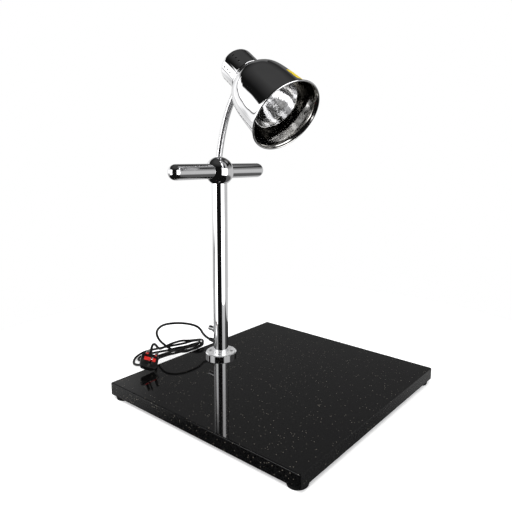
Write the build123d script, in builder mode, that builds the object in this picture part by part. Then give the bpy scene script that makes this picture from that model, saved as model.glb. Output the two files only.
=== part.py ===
from build123d import *
import os
from math import cos, pi, radians, sin, sqrt, tan

# Heat lamp warmer: a granite slab with a chrome pole, a hub with a crossbar and one lamp on a gooseneck.
# Frame: origin at the slab's centre on the table, +Z up, front is -Y, the pole stands near +Y.

os.makedirs("parts", exist_ok=True)

# ---------------------------------------------------------------- driving dimensions (mm, degrees)
slab_side = 550.0
slab_thickness = 30.0
slab_chamfer = 1.5
foot_height = 8.0
foot_dia = 44.0
foot_inset = 23.0
slab_bottom = foot_height
slab_top = foot_height + slab_thickness

pole_y = 197.7
pole_dia = 38.0
pole_wall = 1.5
flange_dia = 80.0
flange_height = 10.5
flange_lip = 2.0
flange_screw_radius = 27.5
flange_screw_turn = 36.0
screw_dia = 4.2
screw_head = 8.4
screw_length = 28.0
stud_dia = 12.0
counterbore_dia = 46.0
counterbore_depth = 14.0
foot_screw_dia = 4.8
foot_screw_head = 9.2
insert_height = 20.0
washer_dia = 38.0
washer_thickness = 3.0
nut_across_flats = 19.0
nut_height = 8.0

hub_z = 519.1
hub_dia = 71.0
hub_socket_depth = 9.0
bar_dia = 37.0
bar_reach = 154.5

hose_dia = 15.8
dome_gap = 0.6

switch_z = 103.0
gland_z = 70.0
gland_length = 24.0
gland_thread = 13.0
bezel_dia = 17.6
bezel_neck = 7.5
bezel_proud = 6.0
button_proud = 20.0
block_z = 118.0
block_height = 24.0
button_dia = 13.0

lamp_dip = 36.4
lamp_turn = -4.5
rim_centre = Vector(1.1, -14.4, 647.0)
rim_radius = 90.6
sheet = 1.2
shade_back = 149.0
neck_radius = 43.0
neck_back = 214.0
vent_dia = 4.6
vent_rows = (172.0, 183.5, 195.0)
vent_columns = 8
vent_phase = -4.5
bulb_radius = 60.0
bulb_widest = 42.0

cord_dia = 6.2

upwards = (Align.CENTER, Align.CENTER, Align.MIN)
downwards = (Align.CENTER, Align.CENTER, Align.MAX)


def save(part, name):
    """Labels one finished piece and writes its STEP file."""
    part.label = name
    export_step(part, f"parts/{name}.step")


def ring_plane(origin, direction, across=Vector(1, 0, 0)):
    """A plane whose normal is direction and whose x axis is as near to across as it can be."""
    normal = Vector(*direction).normalized()
    side = across - normal * across.dot(normal)
    return Plane(origin=Vector(*origin), x_dir=side.normalized(), z_dir=normal)


# ---------------------------------------------------------------- lamp axis and gooseneck line
turn, dip = radians(lamp_turn), radians(lamp_dip)
mouth_dir = Vector(sin(turn) * cos(dip), -cos(turn) * cos(dip), -sin(dip))
back_dir = mouth_dir * -1
lamp_side = mouth_dir.cross(Vector(0, 0, 1)).normalized()
lamp_plane = Plane(origin=rim_centre, x_dir=lamp_side, z_dir=back_dir)
neck_down = (Vector(0, 0, -1) - mouth_dir * Vector(0, 0, -1).dot(mouth_dir)).normalized()

entry_back = 174.0
ferrule_length = 9.0
ferrule_thread = 12.0
entry_point = rim_centre + back_dir * entry_back + neck_down * neck_radius
hose_top = entry_point + neck_down * ferrule_length
hose_foot = Vector(0, pole_y, hub_z + hub_dia / 2 + 5.0)
hose_plane_dir = Vector(hose_top.X - hose_foot.X, hose_top.Y - hose_foot.Y, 0)
reach = hose_plane_dir.length
hose_plane_dir = hose_plane_dir.normalized()
# Height above the foot and share of the reach of each bend, from the hub up.
hose_bends = ((0.0, 0.0), (34.0, 0.135), (67.0, 0.30), (100.0, 0.515), (127.0, 0.765))
bend_points = [hose_foot + hose_plane_dir * (reach * share) + Vector(0, 0, up) for up, share in hose_bends]
bend_points.append(hose_top)
bend_axis = Vector(0, 0, 1).cross(hose_plane_dir)


# ---------------------------------------------------------------- slab, feet and their screws
with BuildPart() as granite_slab:
    with BuildSketch(Plane.XY.offset(slab_bottom)):
        Rectangle(slab_side, slab_side)
    extrude(amount=slab_thickness)
    chamfer(granite_slab.edges(), slab_chamfer)
    with Locations((0, pole_y, slab_bottom)):
        Cylinder(counterbore_dia / 2, counterbore_depth, align=upwards, mode=Mode.SUBTRACT)
        Cylinder(stud_dia / 2 + 0.5, slab_thickness, align=upwards, mode=Mode.SUBTRACT)
    with Locations((0, pole_y, slab_top)):
        with PolarLocations(flange_screw_radius, 4, start_angle=flange_screw_turn):
            Cylinder(screw_dia / 2 + 0.1, screw_length - 8.0, align=downwards, mode=Mode.SUBTRACT)
    with Locations((0, 0, slab_bottom)):
        with GridLocations(slab_side - 2 * foot_inset, slab_side - 2 * foot_inset, 2, 2):
            Cylinder(foot_screw_dia / 2 + 0.6, 16.0, align=upwards, mode=Mode.SUBTRACT)
save(granite_slab.part, "granite_slab")

foot_names = {
    (-1, -1): "foot_front_left",
    (1, -1): "foot_front_right",
    (-1, 1): "foot_rear_left",
    (1, 1): "foot_rear_right",
}
foot_recess = 5.0
foot_offset = slab_side / 2 - foot_inset
for (side_x, side_y), foot_name in foot_names.items():
    foot_plane = Plane(origin=(side_x * foot_offset, side_y * foot_offset, 0))
    with BuildPart() as foot:
        with BuildSketch(foot_plane):
            Circle(foot_dia / 2 - 2)
        with BuildSketch(foot_plane.offset(foot_height)):
            Circle(foot_dia / 2)
        loft()
        with Locations(foot_plane):
            Cylinder(foot_screw_head / 2 + 1.4, foot_recess, align=upwards, mode=Mode.SUBTRACT)
            Cylinder(foot_screw_dia / 2 + 0.2, foot_height, align=upwards, mode=Mode.SUBTRACT)
    save(foot.part, foot_name)

with BuildPart() as foot_screws:
    with BuildSketch(Plane.XY.offset(2.0)):
        with GridLocations(2 * foot_offset, 2 * foot_offset, 2, 2):
            Circle(foot_screw_head / 2)
    extrude(amount=foot_recess - 2.0)
    with BuildSketch(Plane.XY.offset(foot_recess)):
        with GridLocations(2 * foot_offset, 2 * foot_offset, 2, 2):
            Circle(foot_screw_dia / 2)
    extrude(amount=16.0)
save(foot_screws.part, "foot_screws")


# ---------------------------------------------------------------- flange, stud, washer, nut, pole
with BuildPart() as pole_flange:
    with BuildSketch(Plane.XY.offset(slab_top)):
        with Locations((0, pole_y)):
            Circle(flange_dia / 2)
            Circle(pole_dia / 2 + 0.05, mode=Mode.SUBTRACT)
    extrude(amount=flange_height)
    chamfer(pole_flange.edges().group_by(Axis.Z)[-1].sort_by(SortBy.RADIUS)[-1], flange_lip)
    with Locations((0, pole_y, slab_top + flange_height)):
        with PolarLocations(flange_screw_radius, 4, start_angle=flange_screw_turn):
            CounterSinkHole(screw_dia / 2, screw_head / 2)
save(pole_flange.part, "pole_flange")

screw_top = slab_top + flange_height - 0.4
with BuildPart() as flange_screws:
    with BuildSketch(Plane.XY.offset(screw_top)):
        with Locations((0, pole_y)):
            with PolarLocations(flange_screw_radius, 4, start_angle=flange_screw_turn):
                Circle(screw_head / 2 - 0.5)
    extrude(amount=-1.6, taper=40)
    with BuildSketch(Plane.XY.offset(screw_top)):
        with Locations((0, pole_y)):
            with PolarLocations(flange_screw_radius, 4, start_angle=flange_screw_turn):
                Circle(screw_dia / 2 - 0.1)
    extrude(amount=-screw_length)
save(flange_screws.part, "flange_screws")

with BuildPart() as pole_insert:
    with BuildSketch(Plane.XY.offset(slab_top)):
        with Locations((0, pole_y)):
            Circle(pole_dia / 2 - pole_wall)
            Circle(stud_dia / 2, mode=Mode.SUBTRACT)
    extrude(amount=insert_height)
save(pole_insert.part, "pole_insert")

nut_z = slab_bottom + counterbore_depth - washer_thickness - nut_height
with BuildPart() as clamp_stud:
    with BuildSketch(Plane.XY.offset(nut_z - 1.5)):
        with Locations((0, pole_y)):
            Circle(stud_dia / 2)
    extrude(amount=slab_top + insert_height - nut_z)
    chamfer(clamp_stud.edges(), 1.0)
save(clamp_stud.part, "clamp_stud")

with BuildPart() as clamp_washer:
    with BuildSketch(Plane.XY.offset(nut_z + nut_height)):
        with Locations((0, pole_y)):
            Circle(washer_dia / 2)
            Circle(stud_dia / 2 + 0.05, mode=Mode.SUBTRACT)
    extrude(amount=washer_thickness)
save(clamp_washer.part, "clamp_washer")

with BuildPart() as clamp_nut:
    with BuildSketch(Plane.XY.offset(nut_z)):
        with Locations((0, pole_y)):
            RegularPolygon(nut_across_flats / 2, 6, major_radius=False)
            Circle(stud_dia / 2, mode=Mode.SUBTRACT)
    extrude(amount=nut_height)
save(clamp_nut.part, "clamp_nut")

pole_top = hub_z - sqrt((hub_dia / 2) ** 2 - (pole_dia / 2) ** 2) + hub_socket_depth
with BuildPart() as pole_tube:
    with BuildSketch(Plane.XY.offset(slab_top)):
        with Locations((0, pole_y)):
            Circle(pole_dia / 2)
            Circle(pole_dia / 2 - pole_wall, mode=Mode.SUBTRACT)
    extrude(amount=pole_top - slab_top)
    for height, hole in ((switch_z, bezel_neck + 0.1), (gland_z, gland_thread / 2 + 0.1)):
        with Locations(Plane(origin=(0, pole_y, height), x_dir=(1, 0, 0), z_dir=(0, 1, 0))):
            Cylinder(hole, pole_dia, align=upwards, mode=Mode.SUBTRACT)
save(pole_tube.part, "pole_tube")


# ---------------------------------------------------------------- hub and crossbar
hub_centre = Vector(0, pole_y, hub_z)
bar_root = sqrt((hub_dia / 2) ** 2 - (bar_dia / 2) ** 2) - hub_socket_depth
with BuildPart() as hub_ball:
    with Locations(hub_centre):
        Sphere(hub_dia / 2)
        Sphere(14.0, mode=Mode.SUBTRACT)
    with BuildSketch(Plane.XY.offset(slab_top)):
        with Locations((0, pole_y)):
            Circle(pole_dia / 2 + 0.02)
    extrude(amount=pole_top - slab_top, mode=Mode.SUBTRACT)
    with BuildSketch(Plane.XY.offset(hub_z - 30.0)):
        with Locations((0, pole_y)):
            Circle(5.0)
    extrude(amount=70.0, mode=Mode.SUBTRACT)
    for side in (-1, 1):
        socket_plane = Plane(origin=hub_centre, x_dir=(0, 1, 0), z_dir=(side, 0, 0)).offset(bar_root)
        with Locations(socket_plane):
            Cylinder(bar_dia / 2 + 0.02, hub_dia / 2, align=upwards, mode=Mode.SUBTRACT)
save(hub_ball.part, "hub_ball")

for side, bar_name in ((-1, "crossbar_left"), (1, "crossbar_right")):
    bar_plane = Plane(origin=hub_centre, x_dir=(0, 1, 0), z_dir=(side, 0, 0))
    with BuildPart() as crossbar:
        with BuildSketch(bar_plane.offset(bar_root)):
            Circle(bar_dia / 2)
        extrude(amount=bar_reach - bar_dia / 2 - bar_root)
        with Locations(hub_centre + Vector(side * (bar_reach - bar_dia / 2), 0, 0)):
            Sphere(bar_dia / 2)
        with BuildSketch(bar_plane.offset(bar_root)):
            Circle(bar_dia / 2 - pole_wall)
        extrude(amount=bar_reach - bar_dia / 2 - bar_root, mode=Mode.SUBTRACT)
    save(crossbar.part, bar_name)


# ---------------------------------------------------------------- switch, gland and the lead inside the pole
rear_face = pole_y + pole_dia / 2
switch_plane = Plane(origin=(0, rear_face, switch_z), x_dir=(1, 0, 0), z_dir=(0, 1, 0))
with BuildPart() as switch_bezel:
    with BuildSketch(switch_plane.offset(-6.0)):
        Circle(bezel_neck)
        Circle(button_dia / 2 + 0.35, mode=Mode.SUBTRACT)
    extrude(amount=6.0 + bezel_proud)
    with BuildSketch(switch_plane.offset(0.8)):
        Circle(bezel_dia / 2)
        Circle(bezel_neck, mode=Mode.SUBTRACT)
    extrude(amount=bezel_proud - 0.8)
    fillet(switch_bezel.edges().group_by(Axis.Y)[-1].sort_by(SortBy.RADIUS)[-1], 1.0)
save(switch_bezel.part, "switch_bezel")

with BuildPart() as switch_body:
    with BuildSketch(switch_plane.offset(-22.0)):
        RectangleRounded(15.0, 19.0, 2.0)
    extrude(amount=12.0)
    with BuildSketch(switch_plane.offset(-25.0)):
        with Locations((-4, 0), (4, 0)):
            Rectangle(1.0, 5.0)
    extrude(amount=3.0)
save(switch_body.part, "switch_body")

with BuildPart() as switch_button:
    with BuildSketch(switch_plane.offset(-6.5)):
        Circle(button_dia / 2)
    extrude(amount=6.5 + bezel_proud + button_proud)
    fillet(switch_button.edges().group_by(Axis.Y)[-1], 4.5)
save(switch_button.part, "switch_button")

gland_plane = Plane(origin=(0, rear_face, gland_z), x_dir=(1, 0, 0), z_dir=(0, 1, 0))
with BuildPart() as cable_gland:
    with BuildSketch(gland_plane.offset(-4.0)):
        Circle(gland_thread / 2)
    extrude(amount=5.0)
    with BuildSketch(gland_plane.offset(0.9)):
        Circle(8.5)
    with BuildSketch(gland_plane.offset(4.5)):
        Circle(7.6)
    loft()
    with BuildSketch(gland_plane.offset(4.5)):
        Circle(6.2)
    with BuildSketch(gland_plane.offset(gland_length)):
        Circle(4.4)
    loft()
save(cable_gland.part, "cable_gland")

with BuildPart() as gland_nut:
    with BuildSketch(gland_plane.offset(-7.4)):
        RegularPolygon(8.2, 6, major_radius=False)
        Circle(5.0, mode=Mode.SUBTRACT)
    extrude(amount=3.0)
save(gland_nut.part, "gland_nut")

with BuildPart() as terminal_block:
    with BuildSketch(Plane.XY.offset(block_z)):
        with Locations((0, pole_y)):
            RectangleRounded(20.0, 14.0, 2.0)
    extrude(amount=block_height)
    with BuildSketch(Plane.XY.offset(block_z)):
        with Locations((0, pole_y)):
            with GridLocations(6.2, 0, 3, 1):
                Circle(1.8)
    extrude(amount=block_height, mode=Mode.SUBTRACT)
save(terminal_block.part, "terminal_block")

wiring_foot, wiring_dia = block_z + block_height + 2.0, 5.6
with BuildPart() as pole_wiring:
    with BuildSketch(Plane.XY.offset(wiring_foot)):
        with Locations((0, pole_y)):
            Circle(wiring_dia / 2)
    extrude(amount=hub_z + 20.0 - wiring_foot)
save(pole_wiring.part, "pole_wiring")


# ---------------------------------------------------------------- gooseneck: collar, links and top ferrule
hub_top = Plane.XY.offset(hub_z + hub_dia / 2 + 0.3)
with BuildPart() as hose_collar:
    with BuildSketch(hub_top):
        with Locations((0, pole_y)):
            Circle(hose_dia / 2 + 0.4)
    extrude(amount=1.2, taper=8)
    with Locations(hose_foot - Vector(0, 0, hose_dia / 2 + dome_gap)):
        Sphere(hose_dia / 2)
    with BuildSketch(hub_top):
        with Locations((0, pole_y)):
            Circle(hose_dia)
    extrude(amount=-hose_dia, mode=Mode.SUBTRACT)
save(hose_collar.part, "gooseneck_collar")


def hose_link(start, end, name):
    """One stretch of the gooseneck: a round rod with a domed end just short of each bend point."""
    along = (end - start).normalized()
    inset = hose_dia / 2 + dome_gap
    first, last = start + along * inset, end - along * inset
    with BuildPart() as link:
        with BuildSketch(ring_plane(first, along)):
            Circle(hose_dia / 2)
        extrude(amount=(last - first).length)
        with Locations(first, last):
            Sphere(hose_dia / 2)
    save(link.part, name)


for number in range(len(bend_points) - 1):
    hose_link(bend_points[number], bend_points[number + 1], f"gooseneck_link_{number + 1}")

entry_plane = ring_plane(hose_top, neck_down * -1)
dome_centre = hose_dia / 2 + dome_gap
with BuildPart() as top_ferrule:
    with Locations(hose_top - neck_down * dome_centre):
        Sphere(hose_dia / 2)
    split(bisect_by=entry_plane.offset(dome_centre), keep=Keep.BOTTOM)
    with BuildSketch(entry_plane.offset(dome_centre)):
        Circle(hose_dia / 2)
    extrude(amount=ferrule_length - dome_centre - 0.05)
    with BuildSketch(entry_plane.offset(ferrule_length - 0.1)):
        Circle(ferrule_thread / 2)
    extrude(amount=8.0)
save(top_ferrule.part, "top_ferrule")


# ---------------------------------------------------------------- lamp head: neck, shade, ring and label
profile_plane = Plane(origin=rim_centre, x_dir=lamp_side, z_dir=lamp_side.cross(back_dir))
lamp_axis = Axis(rim_centre, back_dir)


def lamp_point(angle, radius, back):
    """A point given by its angle round the lamp's axis, its radius and its distance behind the rim."""
    around = lamp_side * cos(radians(angle)) - neck_down * sin(radians(angle))
    return rim_centre + back_dir * back + around * radius


def radial_plane(angle, radius, back):
    """A plane facing outwards from the lamp's axis."""
    around = lamp_side * cos(radians(angle)) - neck_down * sin(radians(angle))
    return Plane(origin=lamp_point(angle, radius, back), x_dir=back_dir, z_dir=around)


neck_round = 13.0
neck_inside = neck_radius - sheet
with BuildPart() as neck_housing:
    with BuildSketch(profile_plane):
        with BuildLine():
            Polyline((0, neck_back), (neck_radius - neck_round, neck_back))
            JernArc((neck_radius - neck_round, neck_back), (1, 0), neck_round, -90)
            Polyline((neck_radius, neck_back - neck_round), (neck_radius, shade_back), (neck_inside, shade_back))
            Line((neck_inside, shade_back), (neck_inside, neck_back - neck_round))
            JernArc((neck_inside, neck_back - neck_round), (0, 1), neck_round - sheet, 90)
            Polyline((neck_radius - neck_round, neck_back - sheet), (0, neck_back - sheet), (0, neck_back))
        make_face()
    revolve(axis=lamp_axis)
    for column in range(vent_columns):
        angle = vent_phase + column * 360.0 / vent_columns
        if abs((angle + 90.0 + 180.0) % 360.0 - 180.0) < 20.0:
            continue
        for row in vent_rows:
            with Locations(radial_plane(angle, neck_radius - 6.0, row)):
                Cylinder(vent_dia / 2, 12.0, align=upwards, mode=Mode.SUBTRACT)
    with Locations(ring_plane(entry_point - neck_down * 6.0, neck_down)):
        Cylinder(ferrule_thread / 2 + 0.05, 12.0, align=upwards, mode=Mode.SUBTRACT)
save(neck_housing.part, "neck_housing")

with BuildPart() as ferrule_nut:
    with BuildSketch(entry_plane.offset(ferrule_length + 2.9)):
        RegularPolygon(9.0, 6, major_radius=False)
        Circle(ferrule_thread / 2 + 0.02, mode=Mode.SUBTRACT)
    extrude(amount=3.5)
save(ferrule_nut.part, "ferrule_nut")

# Radius and distance behind the rim of the shade's wall, from the flared mouth to the shoulder.
wall = (
    (86.6, 3.6), (83.2, 11.0), (80.2, 35.0), (77.8, 65.0), (74.8, 92.0),
    (70.0, 114.0), (61.5, 130.0), (53.0, 140.0), (47.0, 147.0),
)
bead_radius = 2.0
bead_centre = (rim_radius - bead_radius, bead_radius - 0.8)
seat_radius, seat_back = 38.0, shade_back - 0.2
inner_wall = []
for place, (radius, back) in enumerate(wall):
    before, after = wall[max(place - 1, 0)], wall[min(place + 1, len(wall) - 1)]
    run = Vector(after[0] - before[0], after[1] - before[1], 0).normalized()
    inner_wall.append((radius - sheet * run.Y, back + sheet * run.X))
with BuildPart() as lamp_shade:
    with BuildSketch(profile_plane):
        with BuildLine():
            Spline(*wall)
            Polyline(wall[-1], (seat_radius, seat_back), (seat_radius, seat_back - sheet), inner_wall[-1])
            Spline(*inner_wall)
            Line(inner_wall[0], wall[0])
        make_face()
        with Locations(bead_centre):
            Circle(bead_radius)
        with BuildLine():
            bead_top = (bead_centre[0], bead_centre[1] + bead_radius - 0.1)
            bead_side = (bead_centre[0] - bead_radius + 0.7, bead_centre[1] + 0.2)
            Polyline(wall[0], bead_top, bead_side, inner_wall[0], close=True)
        make_face()
    revolve(axis=lamp_axis)
save(lamp_shade.part, "lamp_shade")

with BuildPart() as shade_ring:
    with BuildSketch(profile_plane):
        with Locations((neck_radius + 2.0, shade_back + 2.0)):
            Rectangle(4.0 - 0.04, 4.0)
    revolve(axis=lamp_axis)
    fillet(shade_ring.edges().filter_by(GeomType.CIRCLE).sort_by(SortBy.RADIUS)[-2:], 1.4)
save(shade_ring.part, "shade_ring")

with BuildPart() as shade_screws:
    for angle in (30.0, 150.0, 270.0):
        screw_centre = lamp_point(angle, seat_radius + 1.5, shade_back - 5.2)
        with Locations(Plane(origin=screw_centre, x_dir=lamp_side, z_dir=back_dir)):
            Cylinder(3.2, 2.4, align=upwards)
save(shade_screws.part, "shade_screws")

label_back, label_length, label_turn, label_angle = 24.0, 38.0, 36.0, 90.0
label_out = (lamp_point(label_angle, 1.0, 0) - rim_centre).normalized()
with BuildPart() as plain_label:
    with BuildSketch(Plane(origin=rim_centre, x_dir=label_out, z_dir=label_out.cross(back_dir))):
        with BuildLine():
            label_foot = (81.42, label_back)
            label_head = (78.22, label_back + label_length)
            Polyline(label_foot, label_head, (label_head[0] + 0.25, label_head[1]),
                     (label_foot[0] + 0.25, label_foot[1]), close=True)
        make_face()
    revolve(axis=lamp_axis, revolution_arc=label_turn)
save(plain_label.part, "plain_label")


# ---------------------------------------------------------------- lampholder and bulb
holder_front, holder_back, plate_back = 152.0, 196.0, 198.0
with BuildPart() as lampholder:
    with BuildSketch(profile_plane):
        with BuildLine():
            Polyline((13.9, holder_front), (17.5, holder_front), (19.0, holder_front + 6), (19.0, holder_back),
                     (0, holder_back), (0, holder_back - 6.0), (13.9, holder_back - 6.0), close=True)
        make_face()
    revolve(axis=lamp_axis)
save(lampholder.part, "lampholder")

with BuildPart() as holder_contact:
    with BuildSketch(profile_plane):
        with Locations((0, holder_back - 7.2)):
            Rectangle(9.0, 2.2, align=(Align.MIN, Align.CENTER))
    revolve(axis=lamp_axis)
save(holder_contact.part, "holder_contact")

with BuildPart() as holder_plate:
    with BuildSketch(lamp_plane.offset(holder_back)):
        Circle(neck_radius - sheet - 0.3)
        with PolarLocations(30.0, 6):
            Circle(5.0, mode=Mode.SUBTRACT)
    extrude(amount=plate_back - holder_back)
save(holder_plate.part, "holder_plate")

with BuildPart() as holder_screws:
    with BuildSketch(lamp_plane.offset(plate_back)):
        with PolarLocations(12.0, 2):
            Circle(3.2)
    extrude(amount=2.2)
save(holder_screws.part, "holder_screws")

glass = 1.4
envelope = (
    (bulb_radius, bulb_widest), (56.5, 58.0), (47.0, 78.0), (36.0, 97.0),
    (25.5, 116.0), (20.0, 134.0), (18.0, 149.0),
)
inner_envelope = [(radius - glass, back) for radius, back in envelope]
with BuildPart() as bulb_reflector:
    with BuildSketch(profile_plane):
        with BuildLine():
            Spline(*envelope)
            Line(envelope[-1], inner_envelope[-1])
            Spline(*inner_envelope)
            Line(inner_envelope[0], envelope[0])
        make_face()
    revolve(axis=lamp_axis)
save(bulb_reflector.part, "bulb_reflector")

lens_rise = 17.0
lens_front, lens_back = bulb_widest - lens_rise, bulb_widest - 0.2
with BuildPart() as bulb_lens:
    with BuildSketch(profile_plane):
        with BuildLine():
            Line((0, lens_front), (0, lens_front + glass))
            Spline((0, lens_front + glass), (34.0, lens_front + glass + 6.0), (bulb_radius - 4.0, lens_back),
                   tangents=((1, 0), (0.35, 1)))
            Line((bulb_radius - 4.0, lens_back), (bulb_radius - 0.4, lens_back))
            Spline((0, lens_front), (35.0, lens_front + 5.0), (bulb_radius - 0.4, lens_back),
                   tangents=((1, 0), (0.1, 1)))
        make_face()
    revolve(axis=lamp_axis)
save(bulb_lens.part, "bulb_lens")

with BuildPart() as bulb_base:
    with BuildSketch(profile_plane):
        with BuildLine():
            Polyline((0, 149.2), (18.0, 149.2), (17.0, 151.6), (13.3, 151.8), (13.3, 180.0),
                     (5.0, 184.0), (5.0, 186.5), (0, 186.5), close=True)
        make_face()
    revolve(axis=lamp_axis)
save(bulb_base.part, "bulb_base")

with BuildPart() as filament_mount:
    with BuildSketch(lamp_plane.offset(92.0)):
        Circle(3.5)
    extrude(amount=28.0)
    with BuildSketch(lamp_plane.offset(119.9)):
        Circle(3.5)
    with BuildSketch(lamp_plane.offset(148.9)):
        Circle(7.0)
    loft()
    with BuildSketch(lamp_plane.offset(92.0)):
        Circle(11.0)
    extrude(amount=2.0)
    with BuildSketch(lamp_plane.offset(70.0)):
        with Locations((-9, 0), (9, 0)):
            Circle(1.0)
    extrude(amount=23.0)
    with BuildSketch(ring_plane(lamp_point(0, -11.0, 71.0), lamp_side, back_dir)):
        Circle(1.6)
    extrude(amount=22.0)
save(filament_mount.part, "filament_mount")


# ---------------------------------------------------------------- mains cord, hank and plug
def tube_radii(points):
    """One radius for each corner: 0.45 of the shorter run over the tangent of half the turn."""
    radii = []
    for before, corner, after in zip(points, points[1:], points[2:]):
        first, second = corner - before, after - corner
        half_turn = radians(first.get_angle(second)) / 2
        radii.append(0.45 * min(first.length, second.length) / tan(half_turn))
    return radii


def cord_tube(points, name):
    """A plain round tube along straight runs joined by tangent arcs."""
    radii = tube_radii(points)
    with BuildPart() as tube:
        with BuildLine() as route:
            FilletPolyline(*points, radius=radii)
        with BuildSketch(ring_plane(points[0], points[1] - points[0], Vector(0.3, 0.2, 1))):
            Circle(cord_dia / 2)
        sweep(path=route.wires()[0])
    save(tube.part, name)
    length = sum(edge.length for edge in route.edges())
    ratio = tube.part.volume / (pi * cord_dia ** 2 / 4 * length)
    print(name, "length", round(length, 1), "radii", [round(r, 1) for r in radii], "volume ratio", round(ratio, 4))


gland_end = Vector(0, rear_face + gland_length, gland_z)
cord_route = [
    gland_end, Vector(-1, 262, 72.5), Vector(-4, 281, 96), Vector(-30, 300, 108.5), Vector(-58, 322, 112.5),
    Vector(-76, 348, 105), Vector(-78, 370, 81), Vector(-69, 369, 57), Vector(-56, 355, 35),
]
cord_tube(cord_route, "cord_arch")

# The hank leans: one end lies on the slab's rear edge, the other on the table behind it.
hank_right, hank_left = Vector(6, 289, 47.2), Vector(-108, 411, 9.8)
hank_along = (hank_left - hank_right).normalized()
hank_across = Vector(0, 0, 1).cross(hank_along).normalized()
hank_normal = hank_along.cross(hank_across)
hank_length = (hank_left - hank_right).length + 22.0
hank_width, hank_thickness, hank_shift = 72.0, 12.0, 1.0
hank_centre = (hank_right + hank_left) * 0.5 + hank_across * hank_shift
hank_plane = Plane(origin=hank_centre, x_dir=hank_along, z_dir=hank_normal)
with BuildPart() as cord_hank:
    with BuildSketch(hank_plane.offset(-hank_thickness / 2)):
        SlotOverall(hank_length, hank_width)
    extrude(amount=hank_thickness)
save(cord_hank.part, "cord_hank")

plug_centre = Vector(-181, 261, 58.6)
plug_out = Vector(-0.008, -0.574, 0.819).normalized()
plug_across = Vector(0.75, -0.545, -0.375)
plug_across = (plug_across - plug_out * plug_across.dot(plug_out)).normalized()
plug_tail_dir = plug_out.cross(plug_across)
plug_plane = Plane(origin=plug_centre, x_dir=plug_across, z_dir=plug_out)
body_half, body_depth = 21.0, 17.5
pin_thick, earth_wide, power_wide = 4.0, 8.0, 6.3
earth_length, power_length, sleeve_length = 22.7, 17.7, 9.0
cover_wide, cover_high = 28.0, 10.0
with BuildPart() as plug_body:
    with BuildSketch(plug_plane.offset(-body_depth / 2)):
        RectangleRounded(2 * body_half - 8, 2 * body_half - 10, 8.0)
    with BuildSketch(plug_plane.offset(body_depth / 2 - 7)):
        RectangleRounded(2 * body_half, 2 * body_half, 10.0)
    loft()
    with BuildSketch(plug_plane.offset(body_depth / 2 - 7)):
        RectangleRounded(2 * body_half, 2 * body_half, 10.0)
    extrude(amount=7.0)
    fillet(plug_body.faces().sort_by(Axis(plug_centre, plug_out))[-1].edges(), 1.5)
    with BuildSketch(plug_plane.offset(body_depth / 2 - 3.0)):
        with Locations((0, 3.0)):
            Rectangle(cover_wide + 0.2, cover_high + 0.2)
    extrude(amount=5.0, mode=Mode.SUBTRACT)
save(plug_body.part, "plug_body")

with BuildPart() as fuse_cover:
    with BuildSketch(plug_plane.offset(body_depth / 2 - 3.0)):
        with Locations((0, 3.0)):
            RectangleRounded(cover_wide, cover_high, 1.5)
    extrude(amount=4.2)
save(fuse_cover.part, "fuse_cover")

earth_y, line_y, line_x = -11.1, 11.1, 11.1
face_at = body_depth / 2
with BuildPart() as earth_pin:
    with BuildSketch(plug_plane.offset(face_at)):
        with Locations((0, earth_y)):
            Rectangle(pin_thick, earth_wide)
    extrude(amount=earth_length)
    chamfer(earth_pin.faces().sort_by(Axis(plug_centre, plug_out))[-1].edges(), 1.0)
save(earth_pin.part, "earth_pin")

with BuildPart() as power_pins:
    with BuildSketch(plug_plane.offset(face_at + sleeve_length)):
        with Locations((-line_x, line_y), (line_x, line_y)):
            Rectangle(power_wide, pin_thick)
    extrude(amount=power_length - sleeve_length)
save(power_pins.part, "power_pins")

with BuildPart() as pin_sleeves:
    with BuildSketch(plug_plane.offset(face_at)):
        with Locations((-line_x, line_y), (line_x, line_y)):
            Rectangle(power_wide, pin_thick)
    extrude(amount=sleeve_length)
save(pin_sleeves.part, "pin_sleeves")

grip_length = 16.0
grip_start = plug_centre + plug_tail_dir * body_half - plug_out * 1.0
grip_plane = ring_plane(grip_start - plug_tail_dir * 1.5, plug_tail_dir)
with BuildPart() as plug_grip:
    with BuildSketch(grip_plane):
        Circle(6.0)
    with BuildSketch(grip_plane.offset(grip_length + 1.5)):
        Circle(3.9)
    loft()
save(plug_grip.part, "plug_grip")

grip_end = grip_start + plug_tail_dir * grip_length
tail_route = [
    grip_end, grip_end + plug_tail_dir * 20.0, Vector(-127, 309, 78), Vector(-112, 321, 65),
    Vector(-97, 333, 50), Vector(-84, 344, 36),
]
cord_tube(tail_route, "cord_tail")
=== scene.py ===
import math

import bmesh
import bpy
from mathutils import Matrix, Vector


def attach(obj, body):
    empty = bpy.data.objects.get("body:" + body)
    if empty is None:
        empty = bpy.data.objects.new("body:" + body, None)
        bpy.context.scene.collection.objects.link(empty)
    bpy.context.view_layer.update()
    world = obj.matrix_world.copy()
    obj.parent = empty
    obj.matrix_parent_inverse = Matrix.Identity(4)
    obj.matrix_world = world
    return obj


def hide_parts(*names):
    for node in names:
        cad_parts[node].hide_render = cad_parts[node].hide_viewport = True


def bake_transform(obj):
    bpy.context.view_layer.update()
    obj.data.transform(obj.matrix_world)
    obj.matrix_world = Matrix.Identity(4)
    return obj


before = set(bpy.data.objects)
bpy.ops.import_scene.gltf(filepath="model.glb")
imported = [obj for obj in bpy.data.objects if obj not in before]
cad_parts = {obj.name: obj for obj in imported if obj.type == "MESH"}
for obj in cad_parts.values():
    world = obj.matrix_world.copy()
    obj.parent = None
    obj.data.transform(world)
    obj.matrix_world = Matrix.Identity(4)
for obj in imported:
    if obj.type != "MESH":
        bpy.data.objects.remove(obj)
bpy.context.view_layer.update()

# Heat lamp warmer: granite slab, chrome pole and crossbar, wound gooseneck and a bell-shaped lamp.
scene = bpy.context.scene
MM = 0.001


def mm(*values):
    """A point given in millimetres, in metres."""
    return Vector(values) * MM


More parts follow.
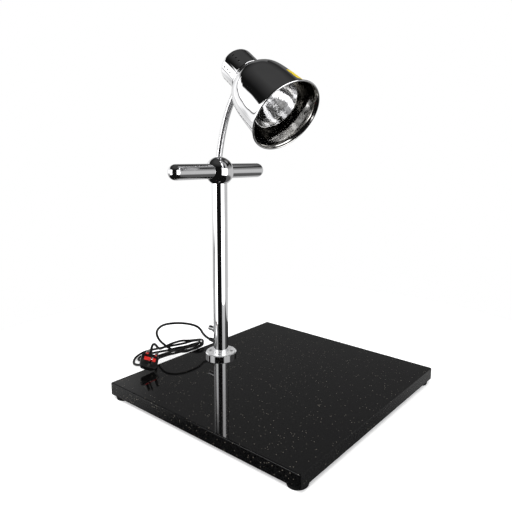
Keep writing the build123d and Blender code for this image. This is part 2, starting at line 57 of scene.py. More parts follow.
# ---------------------------------------------------------------- camera
YAW, PITCH, ROLL = 0.935598, 0.172013, -0.0200326
FOCAL, SENSOR = 35.701, 36.0
SHIFT = (-0.09708, -0.03336)
view_dir = Vector((math.sin(YAW) * math.cos(PITCH), math.cos(YAW) * math.cos(PITCH), -math.sin(PITCH)))
level_right = Vector((math.cos(YAW), -math.sin(YAW), 0))
level_down = view_dir.cross(level_right)
right = level_right * math.cos(ROLL) + level_down * math.sin(ROLL)
down = level_down * math.cos(ROLL) - level_right * math.sin(ROLL)
camera_data = bpy.data.cameras.new("camera")
camera_data.sensor_width = SENSOR
camera_data.lens = FOCAL
camera_data.shift_x, camera_data.shift_y = SHIFT
camera = bpy.data.objects.new("camera", camera_data)
scene.collection.objects.link(camera)
axes = Matrix((right, -down, -view_dir)).transposed()
camera.matrix_world = Matrix.Translation(mm(-894.708, -732.357, 573.497)) @ axes.to_4x4()
scene.camera = camera


# ---------------------------------------------------------------- materials
def new_material(name):
    """An empty node material: returns it, its tree and its principled shader."""
    material = bpy.data.materials.new(name)
    material.use_nodes = True
    tree = material.node_tree
    return material, tree, tree.nodes["Principled BSDF"]


def node(tree, kind, **values):
    """Adds a node and sets its properties, or its inputs where the name is an input's."""
    made = tree.nodes.new(kind)
    for key, value in values.items():
        if hasattr(made, key):
            setattr(made, key, value)
        else:
            made.inputs[key.replace("_", " ")].default_value = value
    return made


def object_coords(tree, scale=(1, 1, 1)):
    """Object coordinates, stretched by scale."""
    coords = node(tree, "ShaderNodeTexCoord")
    mapping = node(tree, "ShaderNodeMapping")
    mapping.inputs["Scale"].default_value = scale
    tree.links.new(coords.outputs["Object"], mapping.inputs["Vector"])
    return mapping.outputs["Vector"]


def noise(tree, vector, scale, detail=4.0, roughness=0.55):
    """A noise texture's factor."""
    made = node(tree, "ShaderNodeTexNoise", Scale=scale, Detail=detail, Roughness=roughness)
    tree.links.new(vector, made.inputs["Vector"])
    return made.outputs["Fac"]


def ramp(tree, factor, stops):
    """A colour ramp with stops of (position, grey or colour)."""
    made = node(tree, "ShaderNodeValToRGB")
    elements = made.color_ramp.elements
    while len(elements) < len(stops):
        elements.new(0.5)
    for element, (place, value) in zip(elements, stops):
        element.position = place
        colour = (value, value, value) if isinstance(value, (int, float)) else value
        element.color = (*colour, 1)
    tree.links.new(factor, made.inputs["Fac"])
    return made.outputs["Color"]


def bump(tree, shader, height, strength, distance):
    """Feeds height to the shader's normal."""
    made = node(tree, "ShaderNodeBump", Strength=strength, Distance=distance)
    tree.links.new(height, made.inputs["Height"])
    tree.links.new(made.outputs["Normal"], shader.inputs["Normal"])


def metal(name, tone, low, high, scale=(1, 1, 1), size=60.0, dent=0.0, tone_spread=0.06):
    """A metal whose roughness and tone vary over fine smears."""
    material, tree, shader = new_material(name)
    shader.inputs["Metallic"].default_value = 1.0
    vector = object_coords(tree, scale)
    smear = noise(tree, vector, size)
    rough = ramp(tree, smear, ((0.35, low), (0.7, high)))
    tree.links.new(rough, shader.inputs["Roughness"])
    darker = tuple(channel * (1 - tone_spread) for channel in tone)
    colour = ramp(tree, smear, ((0.3, tone), (0.75, darker)))
    tree.links.new(colour, shader.inputs["Base Color"])
    if dent:
        bump(tree, shader, noise(tree, vector, size * 4, 2.0), dent, 0.0004)
    return material


def moulded(name, colour, other, low, high, size=220.0, dent=0.15, specular=0.5):
    """A moulded plastic or rubber with a fine grain."""
    material, tree, shader = new_material(name)
    vector = object_coords(tree)
    patches = noise(tree, vector, size * 0.25)
    tree.links.new(ramp(tree, patches, ((0.35, colour), (0.7, other))), shader.inputs["Base Color"])
    tree.links.new(ramp(tree, patches, ((0.3, low), (0.75, high))), shader.inputs["Roughness"])
    shader.inputs["Specular IOR Level"].default_value = specular
    bump(tree, shader, noise(tree, vector, size * 6, 2.0), dent, 0.0003)
    return material


def granite():
    """Polished black granite with fine pale flecks."""
    material, tree, shader = new_material("granite_polished")
    vector = object_coords(tree)
    ground = noise(tree, vector, 260.0, 6.0, 0.7)
    base = ramp(tree, ground, (
        (0.35, (0.0015, 0.0015, 0.0015)), (0.62, (0.004, 0.004, 0.0042)), (0.8, (0.014, 0.014, 0.014)),
    ))
    grains = node(tree, "ShaderNodeTexVoronoi", Scale=400.0, Randomness=1.0)
    tree.links.new(vector, grains.inputs["Vector"])
    near = ramp(tree, grains.outputs["Distance"], ((0.0, 1.0), (0.26, 0.9), (0.4, 0.0)))
    chosen = node(tree, "ShaderNodeSeparateColor")
    tree.links.new(grains.outputs["Color"], chosen.inputs["Color"])
    rare = ramp(tree, chosen.outputs["Red"], ((0.95, 0.0), (0.99, 1.0)))
    fleck = node(tree, "ShaderNodeMix", data_type="RGBA", blend_type="MULTIPLY")
    fleck.inputs["Factor"].default_value = 1.0
    tree.links.new(near, fleck.inputs["A"])
    tree.links.new(rare, fleck.inputs["B"])
    mixed = node(tree, "ShaderNodeMix", data_type="RGBA")
    tree.links.new(fleck.outputs["Result"], mixed.inputs["Factor"])
    tree.links.new(base, mixed.inputs["A"])
    mixed.inputs["B"].default_value = (0.17, 0.153, 0.128, 1)
    tree.links.new(mixed.outputs["Result"], shader.inputs["Base Color"])
    rough = ramp(tree, ground, ((0.3, 0.025), (0.75, 0.07)))
    tree.links.new(rough, shader.inputs["Roughness"])
    shader.inputs["IOR"].default_value = 1.55
    eased = node(tree, "ShaderNodeBevel", samples=6, Radius=0.0009)
    tree.links.new(eased.outputs["Normal"], shader.inputs["Normal"])
    return material


def flange_finish():
    """Bright chrome on the flange's rim, satin and turned on its flat top."""
    material, tree, shader = new_material("flange_turned")
    shader.inputs["Base Color"].default_value = (0.88, 0.88, 0.89, 1)
    facing = node(tree, "ShaderNodeSeparateXYZ")
    tree.links.new(node(tree, "ShaderNodeNewGeometry").outputs["Normal"], facing.inputs["Vector"])
    top = ramp(tree, facing.outputs["Z"], ((0.55, 0.0), (0.9, 1.0)))
    turned = noise(tree, object_coords(tree, (1, 1, 4)), 190.0, 6.0, 0.7)
    grain = ramp(tree, turned, ((0.3, 0.12), (0.7, 0.32)))
    rough = node(tree, "ShaderNodeMix", data_type="RGBA")
    tree.links.new(top, rough.inputs["Factor"])
    rough.inputs["A"].default_value = (0.045, 0.045, 0.045, 1)
    tree.links.new(grain, rough.inputs["B"])
    tree.links.new(rough.outputs["Result"], shader.inputs["Roughness"])
    metallic = ramp(tree, top, ((0.0, 1.0), (1.0, 0.5)))
    tree.links.new(metallic, shader.inputs["Metallic"])
    bump(tree, shader, turned, 0.04, 0.0004)
    return material


chrome = metal("chrome_polished", (0.86, 0.86, 0.87), 0.02, 0.06, size=35.0)
chrome_satin = metal(
    "chrome_satin", (0.84, 0.84, 0.85), 0.07, 0.14, scale=(0.12, 1, 1), size=60.0, dent=0.01,
)
hose_metal = metal("hose_chrome", (0.8, 0.8, 0.81), 0.08, 0.2, size=180.0)
flange_metal = flange_finish()
inside_metal = metal(
    "shade_inside", (0.62, 0.61, 0.59), 0.1, 0.17, size=60.0, dent=0.02, tone_spread=0.12,
)
# A near-black metal: painted shade for the inside of the lamp's neck, so its vent holes read dark.
neck_inside_shade_metal = metal("neck_inside_painted_shade", (0.02, 0.02, 0.02), 0.6, 0.8, size=90.0)
silvering = metal("bulb_silvering", (0.9, 0.9, 0.91), 0.04, 0.1, size=45.0, dent=0.7)
steel = metal("steel_plated", (0.55, 0.55, 0.56), 0.25, 0.4, size=120.0, dent=0.05)
brass = metal("pin_plating", (0.86, 0.84, 0.76), 0.12, 0.25, size=150.0)
rubber = moulded("cord_rubber_black", (0.003, 0.003, 0.003), (0.006, 0.006, 0.006), 0.4, 0.55, specular=0.3)
foot_rubber = moulded(
    "foot_rubber_black", (0.003, 0.003, 0.003), (0.006, 0.006, 0.006), 0.6, 0.8, dent=0.3, specular=0.2,
)
plug_black = moulded(
    "plug_plastic_black", (0.004, 0.004, 0.004), (0.008, 0.008, 0.008), 0.3, 0.42, specular=0.35,
)
fuse_red = moulded("fuse_cover_red", (0.62, 0.018, 0.012), (0.5, 0.012, 0.01), 0.3, 0.42)
label_yellow = moulded("label_yellow_plain", (0.78, 0.6, 0.02), (0.7, 0.52, 0.015), 0.35, 0.5, dent=0.05)
white_plastic = moulded("plastic_white", (0.8, 0.79, 0.75), (0.72, 0.71, 0.67), 0.3, 0.45)
ceramic = moulded("ceramic_white", (0.82, 0.81, 0.78), (0.76, 0.75, 0.71), 0.12, 0.25, dent=0.05)
stone = granite()


def glass():
    """Clear bulb glass, faintly uneven."""
    material, tree, shader = new_material("bulb_glass")
    shader.inputs["Transmission Weight"].default_value = 1.0
    shader.inputs["IOR"].default_value = 1.45
    vector = object_coords(tree)
    ripple = noise(tree, vector, 45.0, 2.0)
    tree.links.new(ramp(tree, ripple, ((0.3, 0.0), (0.75, 0.04))), shader.inputs["Roughness"])
    tree.links.new(ramp(tree, ripple, ((0.3, 1.0), (0.8, 0.94))), shader.inputs["Base Color"])
    bump(tree, shader, ripple, 0.1, 0.0006)
    return material


clear_glass = glass()


def paint(thing, material):
    """One material over the whole of an object."""
    thing.data.materials.clear()
    thing.data.materials.append(material)


# ---------------------------------------------------------------- mesh helpers
def add_object(name, mesh, material):
    """Links a finished mesh as an object with smooth faces, creased where it turns sharply."""
    mesh.polygons.foreach_set("use_smooth", [True] * len(mesh.polygons))
    mesh.set_sharp_from_angle(angle=math.radians(38))
    thing = bpy.data.objects.new(name, mesh)
    scene.collection.objects.link(thing)
    paint(thing, material)
    return thing


def basis(axis, hint):
    """Two directions square to axis, the first as near to hint as it can be."""
    first = (hint - axis * hint.dot(axis)).normalized()
    return first, axis.cross(first)


def smooth_line(points, steps=8):
    """A Catmull-Rom line through 2-D points."""
    line = []
    for place in range(len(points) - 1):
        p0, p1 = Vector(points[max(place - 1, 0)]), Vector(points[place])
        p2, p3 = Vector(points[place + 1]), Vector(points[min(place + 2, len(points) - 1)])
        for step in range(steps):
            t = step / steps
            line.append(0.5 * (2 * p1 + (p2 - p0) * t + (2 * p0 - 5 * p1 + 4 * p2 - p3) * t * t
                               + (3 * p1 - p0 - 3 * p2 + p3) * t ** 3))
    line.append(Vector(points[-1]))
    return line


def arc(centre, radius, start, end, steps=8):
    """Points of an arc in the profile plane, angles in degrees."""
    places = [math.radians(start + (end - start) * step / steps) for step in range(steps + 1)]
    return [Vector((centre[0] + radius * math.cos(a), centre[1] + radius * math.sin(a))) for a in places]


def lathe(name, origin, axis, hint, profile, material, closed=False, segments=128):
    """A turned piece: profile is (radius, distance along the axis) in millimetres."""
    axis = axis.normalized()
    across, other = basis(axis, hint)
    mesh = bpy.data.meshes.new(name)
    work = bmesh.new()
    rings = []
    for radius, along in profile:
        centre = origin + axis * along * MM
        if radius < 0.01:
            rings.append([work.verts.new(centre)])
            continue
        ring = []
        for k in range(segments):
            turn = 2 * math.pi * k / segments
            outwards = across * math.cos(turn) + other * math.sin(turn)
            ring.append(work.verts.new(centre + outwards * radius * MM))
        rings.append(ring)
    pairs = list(zip(rings, rings[1:]))
    if closed:
        pairs.append((rings[-1], rings[0]))
    for lower, upper in pairs:
        for k in range(segments):
            after = (k + 1) % segments
            if len(lower) == 1 and len(upper) == 1:
                break
            if len(lower) == 1:
                work.faces.new((lower[0], upper[after], upper[k]))
            elif len(upper) == 1:
                work.faces.new((lower[k], lower[after], upper[0]))
            else:
                work.faces.new((lower[k], lower[after], upper[after], upper[k]))
    bmesh.ops.recalc_face_normals(work, faces=work.faces)
    work.to_mesh(mesh)
    work.free()
    return add_object(name, mesh, material)


UP = Vector((0, 0, 1))
RIGHTWARDS = Vector((1, 0, 0))

# ---------------------------------------------------------------- mains cord
CORD_DIA = 6.2
arch_points = (
    (0, 240.7, 70), (0, 262, 72.5), (-1, 281, 96), (-28, 300, 108.5), (-57, 322, 112),
    (-74, 347, 105), (-76, 370, 82), (-67, 372, 57),
)
first_turn = (
    (-52, 368, 38), (-42, 355, 26), (-37, 338, 22), (-33, 318, 24), (-29, 301, 28),
    (-20, 289, 34), (-9, 280, 38), (4, 278, 41), (14, 283, 42), (21, 294, 40), (19, 307, 37),
    (10, 319, 33), (-5, 330, 28), (-21, 349, 24), (-39, 363, 19), (-56, 382, 15),
    (-72, 401, 10), (-85, 412, 7), (-98, 413, 5), (-109, 407, 5), (-115, 396, 6),
)
second_turn = (
    (-113, 383, 8), (-103, 370, 12), (-84, 359, 16), (-67, 348, 21), (-61, 337, 26),
    (-53, 322, 33), (-43, 305, 38), (-32, 292, 43), (-21, 282, 46), (-8, 280, 48), (5, 287, 48),
    (14, 298, 47), (17, 311, 44), (11, 326, 40), (-2, 340, 34), (-16, 355, 30), (-33, 370, 27),
    (-52, 386, 23), (-67, 409, 16), (-82, 420, 12), (-99, 422, 7), (-114, 415, 5),
    (-127, 402, 4),
)
third_turn = (
    (-137, 386, 5), (-137, 367, 7), (-127, 353, 11), (-110, 345, 15), (-89, 340, 19),
    (-71, 330, 24), (-55, 313, 29), (-41, 297, 35), (-33, 281, 40), (-22, 271, 45),
    (-8, 269, 48), (7, 276, 49), (21, 291, 48), (28, 309, 44), (22, 327, 39), (9, 340, 38),
    (-5, 347, 41), (-19, 353, 40), (-37, 356, 39), (-58, 354, 38), (-79, 348, 39),
)
tail_points = (
    (-97, 333, 50), (-112, 321, 65), (-127, 309, 78), (-143.3, 296.4, 82.6),
    (-156.5, 284.2, 73.9),
)
cord_points = arch_points + first_turn + second_turn + third_turn + tail_points
cord_curve = bpy.data.curves.new("mains_cord", "CURVE")
cord_curve.dimensions = "3D"
cord_curve.bevel_depth = CORD_DIA / 2 * MM
cord_curve.bevel_resolution = 5
cord_curve.resolution_u = 10
cord_curve.use_fill_caps = True
cord_spline = cord_curve.splines.new("NURBS")
cord_spline.points.add(len(cord_points) - 1)
for spot, point in zip(cord_spline.points, cord_points):
    spot.co = (*mm(*point), 1)
cord_spline.order_u = 3
cord_spline.use_endpoint_u = True
cord = bpy.data.objects.new("mains_cord", cord_curve)
scene.collection.objects.link(cord)
paint(cord, rubber)
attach(cord, "stand")
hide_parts("cord_arch", "cord_hank", "cord_tail")

# ---------------------------------------------------------------- lamp's frame
lamp_turn, lamp_dip = math.radians(-4.5), math.radians(36.4)
mouth_dir = Vector((
    math.sin(lamp_turn) * math.cos(lamp_dip),
    -math.cos(lamp_turn) * math.cos(lamp_dip),
    -math.sin(lamp_dip),
))
back_dir = -mouth_dir
lamp_side = mouth_dir.cross(UP).normalized()
neck_down = (-UP + mouth_dir * mouth_dir.dot(UP)).normalized()
RIM = mm(1.1, -14.4, 647.0)
RIM_RADIUS, SHEET = 90.6, 1.2

# ---------------------------------------------------------------- wound gooseneck
HOSE_RADIUS = 7.9
bends = [
    mm(0, 197.7, 559.6), mm(1.96, 192.07, 593.6), mm(4.35, 185.18, 626.6), mm(7.47, 176.22, 659.6),
    mm(11.1, 165.79, 686.6), mm(14.51, 155.98, 708.4),
]
hose_start = mm(0, 197.7, 555.4)
hose_end = bends[-1] - neck_down * 8.2 * MM
middles = [(a + b) / 2 for a, b in zip(bends, bends[1:])]
stretch_ends = [hose_start, *middles, hose_end]
RIB_PITCH, RIB_DEPTH, AROUND_HOSE = 2.9, 0.55, 40


def bezier(a, b, c, t):
    """A quadratic curve's point."""
    return a * (1 - t) ** 2 + b * 2 * t * (1 - t) + c * t * t


def wound_hose(name, a, b, c, run, hint, material):
    """One stretch of the wound metal hose, its ribs carrying on from the length run before it."""
    steps = max(int((c - a).length / (0.33 * MM)), 12)
    line = [bezier(a, b, c, k / steps) for k in range(steps + 1)]
    mesh = bpy.data.meshes.new(name)
    work = bmesh.new()
    rings = []
    for k, centre in enumerate(line):
        if k:
            run += (centre - line[k - 1]).length / MM
        t = k / steps
        tangent = ((b - a) * (1 - t) + (c - b) * t).normalized()
        across, other = basis(tangent, hint)
        ring = []
        for turn in range(AROUND_HOSE):
            angle = 2 * math.pi * turn / AROUND_HOSE
            phase = (run / RIB_PITCH + turn / AROUND_HOSE) % 1.0
            groove = abs(2 * phase - 1) ** 4
            radius = (HOSE_RADIUS - RIB_DEPTH * groove) * MM
            outwards = across * math.cos(angle) + other * math.sin(angle)
            ring.append(work.verts.new(centre + outwards * radius))
        rings.append(ring)
    for lower, upper in zip(rings, rings[1:]):
        for k in range(AROUND_HOSE):
            after = (k + 1) % AROUND_HOSE
            work.faces.new((lower[k], lower[after], upper[after], upper[k]))
    work.faces.new(list(reversed(rings[0])))
    work.faces.new(rings[-1])
    bmesh.ops.recalc_face_normals(work, faces=work.faces)
    work.to_mesh(mesh)
    work.free()
    return add_object(name, mesh, material), run


LINKS = 5
run = 0.0
for place, bend in enumerate(bends):
    start, end = stretch_ends[place], stretch_ends[place + 1]
    piece, run = wound_hose(f"gooseneck_stretch_{place + 1}", start, bend, end, run, RIGHTWARDS, hose_metal)
    along = (end - start).normalized() * MM
    before = 3 if place == 0 else 10
    after = 6 if place == len(bends) - 1 else 10
    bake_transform(piece)
    if place < LINKS:
        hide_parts(f"gooseneck_link_{place + 1}")


# ---------------------------------------------------------------- lamp head
def on_head(thing, slot, *nodes):
    """Rides on the lamp head and stands for those CAD nodes."""
    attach(thing, "lamp_head")
    if nodes:
        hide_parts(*nodes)


def on_stand(thing, slot, *nodes):
    """Rides on the stand and stands for those CAD nodes."""
    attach(thing, "stand")
    if nodes:
        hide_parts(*nodes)


wall = (
    (86.6, 3.6), (83.2, 11.0), (80.2, 35.0), (77.8, 65.0), (74.8, 92.0), (70.0, 114.0), (61.5, 130.0),
    (53.0, 140.0), (47.0, 147.0),
)
BEAD = 2.0
outer_line = smooth_line(wall, 10)
inner_line = []
for place, spot in enumerate(outer_line):
    before = outer_line[max(place - 1, 0)]
    after = outer_line[min(place + 1, len(outer_line) - 1)]
    direction = (after - before).normalized()
    inner_line.append(Vector((spot[0] - SHEET * direction[1], spot[1] + SHEET * direction[0])))
bead_centre = (RIM_RADIUS - BEAD, BEAD - 0.8)
seat = [(47.0, 148.0), (44.0, 148.9), (38.0, 148.9)]
outside = [*seat[::-1], *reversed(outer_line), *arc(bead_centre, BEAD, 120, -110, 18)]
shade_outer = lathe("shade_outer", RIM, back_dir, lamp_side, outside, chrome)
inside = [*arc(bead_centre, BEAD, -110, -160, 5), *inner_line, (38.0, 147.5)]
shade_inner = lathe("shade_inner", RIM, back_dir, lamp_side, inside, inside_metal)
on_head(shade_outer, "polished_chrome", "lamp_shade")
on_head(shade_inner, "polished_chrome", "lamp_shade")

NECK_RADIUS, NECK_BACK, NECK_ROUND, SHADE_BACK = 43.0, 214.0, 13.0, 149.0
round_centre = (NECK_RADIUS - NECK_ROUND, NECK_BACK - NECK_ROUND)
neck_profile = [(NECK_RADIUS - SHEET, SHADE_BACK), (NECK_RADIUS, SHADE_BACK), (NECK_RADIUS, round_centre[1])]
neck_profile += arc(round_centre, NECK_ROUND, 0, 90, 10)[1:]
neck_profile += [(0, NECK_BACK), (0, NECK_BACK - SHEET)]
neck_profile += arc(round_centre, NECK_ROUND - SHEET, 90, 0, 10)
neck = lathe("neck_housing_shell", RIM, back_dir, lamp_side, neck_profile, chrome, closed=True)
VENT_ROWS, VENT_DIA, VENT_PHASE, VENT_COLUMNS = (172.0, 183.5, 195.0), 4.6, -4.5, 8
cutter_work = bmesh.new()
for column in range(VENT_COLUMNS):
    angle = VENT_PHASE + column * 360.0 / VENT_COLUMNS
    if abs((angle + 90.0 + 180.0) % 360.0 - 180.0) < 20.0:
        continue
    outwards = lamp_side * math.cos(math.radians(angle)) - neck_down * math.sin(math.radians(angle))
    across, other = basis(outwards, back_dir)
    turned = Matrix((across, other, outwards)).transposed().to_4x4()
    for row in VENT_ROWS:
        centre = RIM + (back_dir * row + outwards * NECK_RADIUS) * MM
        place_at = Matrix.Translation(centre) @ turned
        radius = VENT_DIA / 2 * MM
        bmesh.ops.create_cone(cutter_work, cap_ends=True, segments=24, radius1=radius, radius2=radius,
                              depth=10 * MM, matrix=place_at)
cutter_mesh = bpy.data.meshes.new("vent_cutter")
cutter_work.to_mesh(cutter_mesh)
cutter_work.free()
cutter = bpy.data.objects.new("vent_cutter", cutter_mesh)
scene.collection.objects.link(cutter)
cut = neck.modifiers.new("vents", "BOOLEAN")
cut.object = cutter
cut.solver = "EXACT"
bpy.context.view_layer.update()
cut_mesh = bpy.data.meshes.new_from_object(neck.evaluated_get(bpy.context.evaluated_depsgraph_get()))
neck.modifiers.clear()
neck.data = cut_mesh
bpy.data.objects.remove(cutter)
paint(neck, chrome)
# The neck's straight walls get true cylinder normals, so the cuts leave the reflection smooth.
normals = []
for face in neck.data.polygons:
    for corner in face.vertices:
        offset = neck.data.vertices[corner].co - RIM
        along = offset.dot(back_dir)
        radial = offset - back_dir * along
        straight = along < (NECK_BACK - NECK_ROUND - 0.5) * MM
        on_wall = straight and radial.length > 1e-6 and abs(face.normal.dot(radial.normalized())) > 0.98
        if on_wall:
            sign = 1 if face.normal.dot(radial) > 0 else -1
            normals.append(radial.normalized() * sign)
        else:
            normals.append(Vector((0, 0, 0)))
neck.data.polygons.foreach_set("use_smooth", [True] * len(neck.data.polygons))
neck.data.set_sharp_from_angle(angle=math.radians(38))
neck.data.normals_split_custom_set(normals)
# The neck's inner wall takes the near-black metal: painted shade, so the vent holes look dark.
neck.data.materials.append(neck_inside_shade_metal)
for face in neck.data.polygons:
    offset = face.center - RIM
    along = offset.dot(back_dir)
    inner = (offset - back_dir * along).length < (NECK_RADIUS - 0.25) * MM
    if inner and along < (NECK_BACK - NECK_ROUND) * MM:
        face.material_index = 1
on_head(neck, "polished_chrome", "neck_housing")

ring_profile = arc((45.2, 151.2), 1.9, -90, 270, 24)[:-1]
ring = lathe("shade_ring_rolled", RIM, back_dir, lamp_side, ring_profile, chrome, closed=True)
on_head(ring, "polished_chrome", "shade_ring")

collar_profile = [(7.6, 0), (8.6, 0.2), (9.0, 0.8), (9.0, 4.2), (8.6, 4.9), (7.6, 5.0)]
collar_foot = bends[-1] - neck_down * 4.0 * MM
collar = lathe(
    "hose_top_collar", collar_foot, -neck_down, lamp_side, collar_profile, chrome, closed=True, segments=64,
)
on_head(collar, "polished_chrome", "top_ferrule")

# ---------------------------------------------------------------- bulb
GLASS_WALL = 1.4
envelope = (
    (60.0, 42.0), (56.5, 58.0), (47.0, 78.0), (36.0, 97.0), (25.5, 116.0), (20.0, 134.0), (18.0, 149.0),
)
bowl = smooth_line(envelope, 8)
bowl_inner = [Vector((spot[0] - GLASS_WALL, spot[1])) for spot in reversed(bowl)]
reflector = lathe("bulb_bowl", RIM, back_dir, lamp_side, [*bowl, *bowl_inner], silvering, closed=True)
on_head(reflector, "silvered_glass", "bulb_reflector")
LENS_FRONT = 25.0
lens_points = ((0.0, LENS_FRONT), (18.0, 26.2), (36.0, 29.8), (50.0, 34.6), (57.0, 38.6), (59.6, 41.8))
lens_line = smooth_line(lens_points, 6)
lens_inner = [Vector((max(spot[0] - 1.0, 0.0), spot[1] + GLASS_WALL)) for spot in reversed(lens_line)]
lens_inner[0] = Vector((57.0, 41.8))
lens = lathe("bulb_face", RIM, back_dir, lamp_side, [*lens_line, *lens_inner], clear_glass)
on_head(lens, "clear_glass", "bulb_lens")

# ---------------------------------------------------------------- hub and crossbar
HUB = mm(0, 197.7, 519.1)
HUB_RADIUS, BAR_RADIUS, BAR_REACH, POLE_RADIUS = 35.5, 18.5, 154.5, 19.0
ball_cut = math.degrees(math.asin(POLE_RADIUS / HUB_RADIUS))
ball_profile = arc((0, 0), HUB_RADIUS, -90 + ball_cut, 82, 72)
ball_profile = [(POLE_RADIUS - 0.2, ball_profile[0][1] + 4.0), *ball_profile, (4.0, HUB_RADIUS - 2.0)]
ball = lathe("hub_ball_polished", HUB, UP, RIGHTWARDS, ball_profile, chrome)
on_stand(ball, "polished_chrome", "hub_ball")
for side, bar_name in ((-1, "left"), (1, "right")):
    bar_profile = [(BAR_RADIUS - 1.5, 21.0), (BAR_RADIUS, 21.0), (BAR_RADIUS, 60.0), (BAR_RADIUS, 100.0)]
    bar_profile += arc((0, BAR_REACH - BAR_RADIUS), BAR_RADIUS, 0, 90, 20)
    bar = lathe(f"crossbar_tube_{bar_name}", HUB, RIGHTWARDS * side, UP, bar_profile, chrome_satin)
    on_stand(bar, "polished_chrome", f"crossbar_{bar_name}")

# ---------------------------------------------------------------- CAD nodes that stay, with their finishes
finishes = {
    "granite_slab": stone, "foot_screws": steel, "flange_screws": steel, "pole_insert": steel,
    "clamp_stud": steel, "clamp_washer": steel, "clamp_nut": steel, "switch_body": plug_black,
    "cable_gland": rubber, "gland_nut": plug_black, "terminal_block": white_plastic,
    "pole_wiring": rubber, "plug_body": plug_black, "fuse_cover": fuse_red, "earth_pin": brass,
    "power_pins": brass, "pin_sleeves": plug_black, "plug_grip": rubber, "ferrule_nut": steel,
    "shade_screws": steel, "plain_label": label_yellow, "lampholder": ceramic,
    "holder_contact": brass, "holder_plate": steel, "holder_screws": steel, "bulb_base": steel,
    "filament_mount": steel, "pole_flange": flange_metal,
}
for corner in ("front_left", "front_right", "rear_left", "rear_right"):
    finishes[f"foot_{corner}"] = foot_rubber
for name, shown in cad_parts.items():
    paint(shown, finishes.get(name, chrome))

# ---------------------------------------------------------------- floor
floor_mesh = bpy.data.meshes.new("floor")
floor_work = bmesh.new()
bmesh.ops.create_circle(floor_work, cap_ends=True, segments=96, radius=0.95)
floor_work.to_mesh(floor_mesh)
floor_work.free()
floor = bpy.data.objects.new("floor", floor_mesh)
scene.collection.objects.link(floor)
floor_material, floor_tree, floor_shader = new_material("floor_white")
floor_shader.inputs["Base Color"].default_value = (0.92, 0.92, 0.92, 1)
floor_shader.inputs["Roughness"].default_value = 0.9
floor_shader.inputs["Specular IOR Level"].default_value = 0.0
floor_shader.inputs["Emission Color"].default_value = (1, 1, 1, 1)
floor_shader.inputs["Emission Strength"].default_value = 0.32
paint(floor, floor_material)
floor.visible_glossy = False

# ---------------------------------------------------------------- studio
# Camera and diffuse light see a plain white room; metal and polished stone see a dark room with soft boxes.
world = bpy.data.worlds.new("studio")
scene.world = world
world.use_nodes = True
sky = world.node_tree
sky.nodes.clear()


def math_node(operation, first, second=None, clamp=False):
    """A maths node; each operand is a socket or a number."""
    made = sky.nodes.new("ShaderNodeMath")
    made.operation = operation
    made.use_clamp = clamp
    for place, value in enumerate((first, second)):
        if value is None:
            continue
        if isinstance(value, (int, float)):
            made.inputs[place].default_value = value
        else:
            sky.links.new(value, made.inputs[place])
    return made.outputs[0]


def dot_with(vector, direction):
    """The share of a direction along another."""
    made = sky.nodes.new("ShaderNodeVectorMath")
    made.operation = "DOT_PRODUCT"
    sky.links.new(vector, made.inputs[0])
    made.inputs[1].default_value = direction
    return made.outputs["Value"]


ray = sky.nodes.new("ShaderNodeTexCoord").outputs["Generated"]
stand_to_front = Vector((-0.805, -0.593, 0))
front_right = Vector((0.593, -0.805, 0))
around = math_node("ARCTAN2", dot_with(ray, front_right), dot_with(ray, stand_to_front))
bearing = math_node("MULTIPLY", around, math.degrees(1))
height = math_node("MULTIPLY", math_node("ARCSINE", dot_with(ray, UP)), math.degrees(1))


def soft_edge(value, edge, blur, rising):
    """0 to 1 over blur degrees at an edge."""
    offset = math_node("SUBTRACT", value, edge) if rising else math_node("SUBTRACT", edge, value)
    return math_node("ADD", math_node("DIVIDE", offset, blur), 0.5, clamp=True)


def soft_box(left, right_end, low, high, strength, blur=3.0, rise=4.0):
    """A glowing rectangle between two bearings and two heights, in degrees."""
    near_side = soft_edge(bearing, left, blur, True)
    sides = math_node("MULTIPLY", near_side, soft_edge(bearing, right_end, blur, False))
    ends = math_node("MULTIPLY", soft_edge(height, low, rise, True), soft_edge(height, high, rise, False))
    return math_node("MULTIPLY", math_node("MULTIPLY", sides, ends), strength)


glow = math_node("MULTIPLY", soft_edge(height, 50, 30, True), 0.05)
glow = math_node("ADD", glow, 0.007)
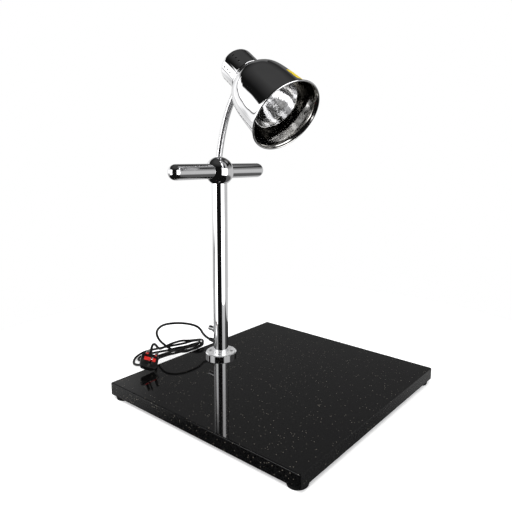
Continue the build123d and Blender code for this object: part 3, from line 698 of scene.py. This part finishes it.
# Each box: bearings, heights, strength, and the softness of its sides and of its ends, all in degrees
# apart from the strength. Bearings run from the front towards the right.
boxes = (
    (-71, -39.5, -28, 29, 3.2, 6, 4),
    (-79, -71, -9, 27, 2.4, 3, 4),
    (-96, -81.5, -9, 20, 2.0, 3, 4),
    (-100, -96, -9, 24, 2.0, 3, 5),
    (-104, -100, -9, 28, 2.0, 3, 5),
    (-107.5, -104, -9, 32, 1.8, 2, 5),
    (-128, -110.5, -9, 31, 1.15, 3, 6),
    (-146, -128, -11, 30, 0.95, 8, 8),
    (-158, -146, -13, 28, 0.7, 10, 10),
    (-150, -72, -27, -10, 0.42, 6, 5),
    (-184, -156, -60, 14, 0.5, 10, 8),
    (154, 184, -60, 14, 0.55, 10, 8),
    (-184, -156, 14, 50, 0.14, 8, 10),
    (154, 184, 14, 40, 0.14, 8, 10),
    (31, 78, -28, 33, 3.0, 6, 4),
    (78, 154, -24, 15, 0.58, 8, 10),
    (78, 154, -60, -24, 0.1, 8, 10),
    (78, 130, 15, 30, 0.26, 8, 8),
    (118, 148, 41, 56, 0.3, 8, 8),
)
for box in boxes:
    glow = math_node("ADD", glow, soft_box(*box))
path = sky.nodes.new("ShaderNodeLightPath")
plain = math_node("MAXIMUM", path.outputs["Is Camera Ray"], path.outputs["Is Diffuse Ray"])
blend = sky.nodes.new("ShaderNodeMix")
blend.data_type = "FLOAT"
sky.links.new(plain, blend.inputs["Factor"])
sky.links.new(glow, blend.inputs["A"])
blend.inputs["B"].default_value = 1.0
background = sky.nodes.new("ShaderNodeBackground")
background.inputs["Color"].default_value = (1, 1, 1, 1)
output = sky.nodes.new("ShaderNodeOutputWorld")
sky.links.new(blend.outputs["Result"], background.inputs["Strength"])
sky.links.new(background.outputs[0], output.inputs[0])
scene.view_settings.view_transform = "Standard"

key_data = bpy.data.lights.new("key", "AREA")
key_data.size = 0.7
key_data.energy = 9.0
key = bpy.data.objects.new("key", key_data)
scene.collection.objects.link(key)
key.location = (-0.9, -0.2, 1.25)
key.rotation_euler = (Vector((0, 0.1, 0.1)) - key.location).to_track_quat("-Z", "Y").to_euler()
key.visible_glossy = False
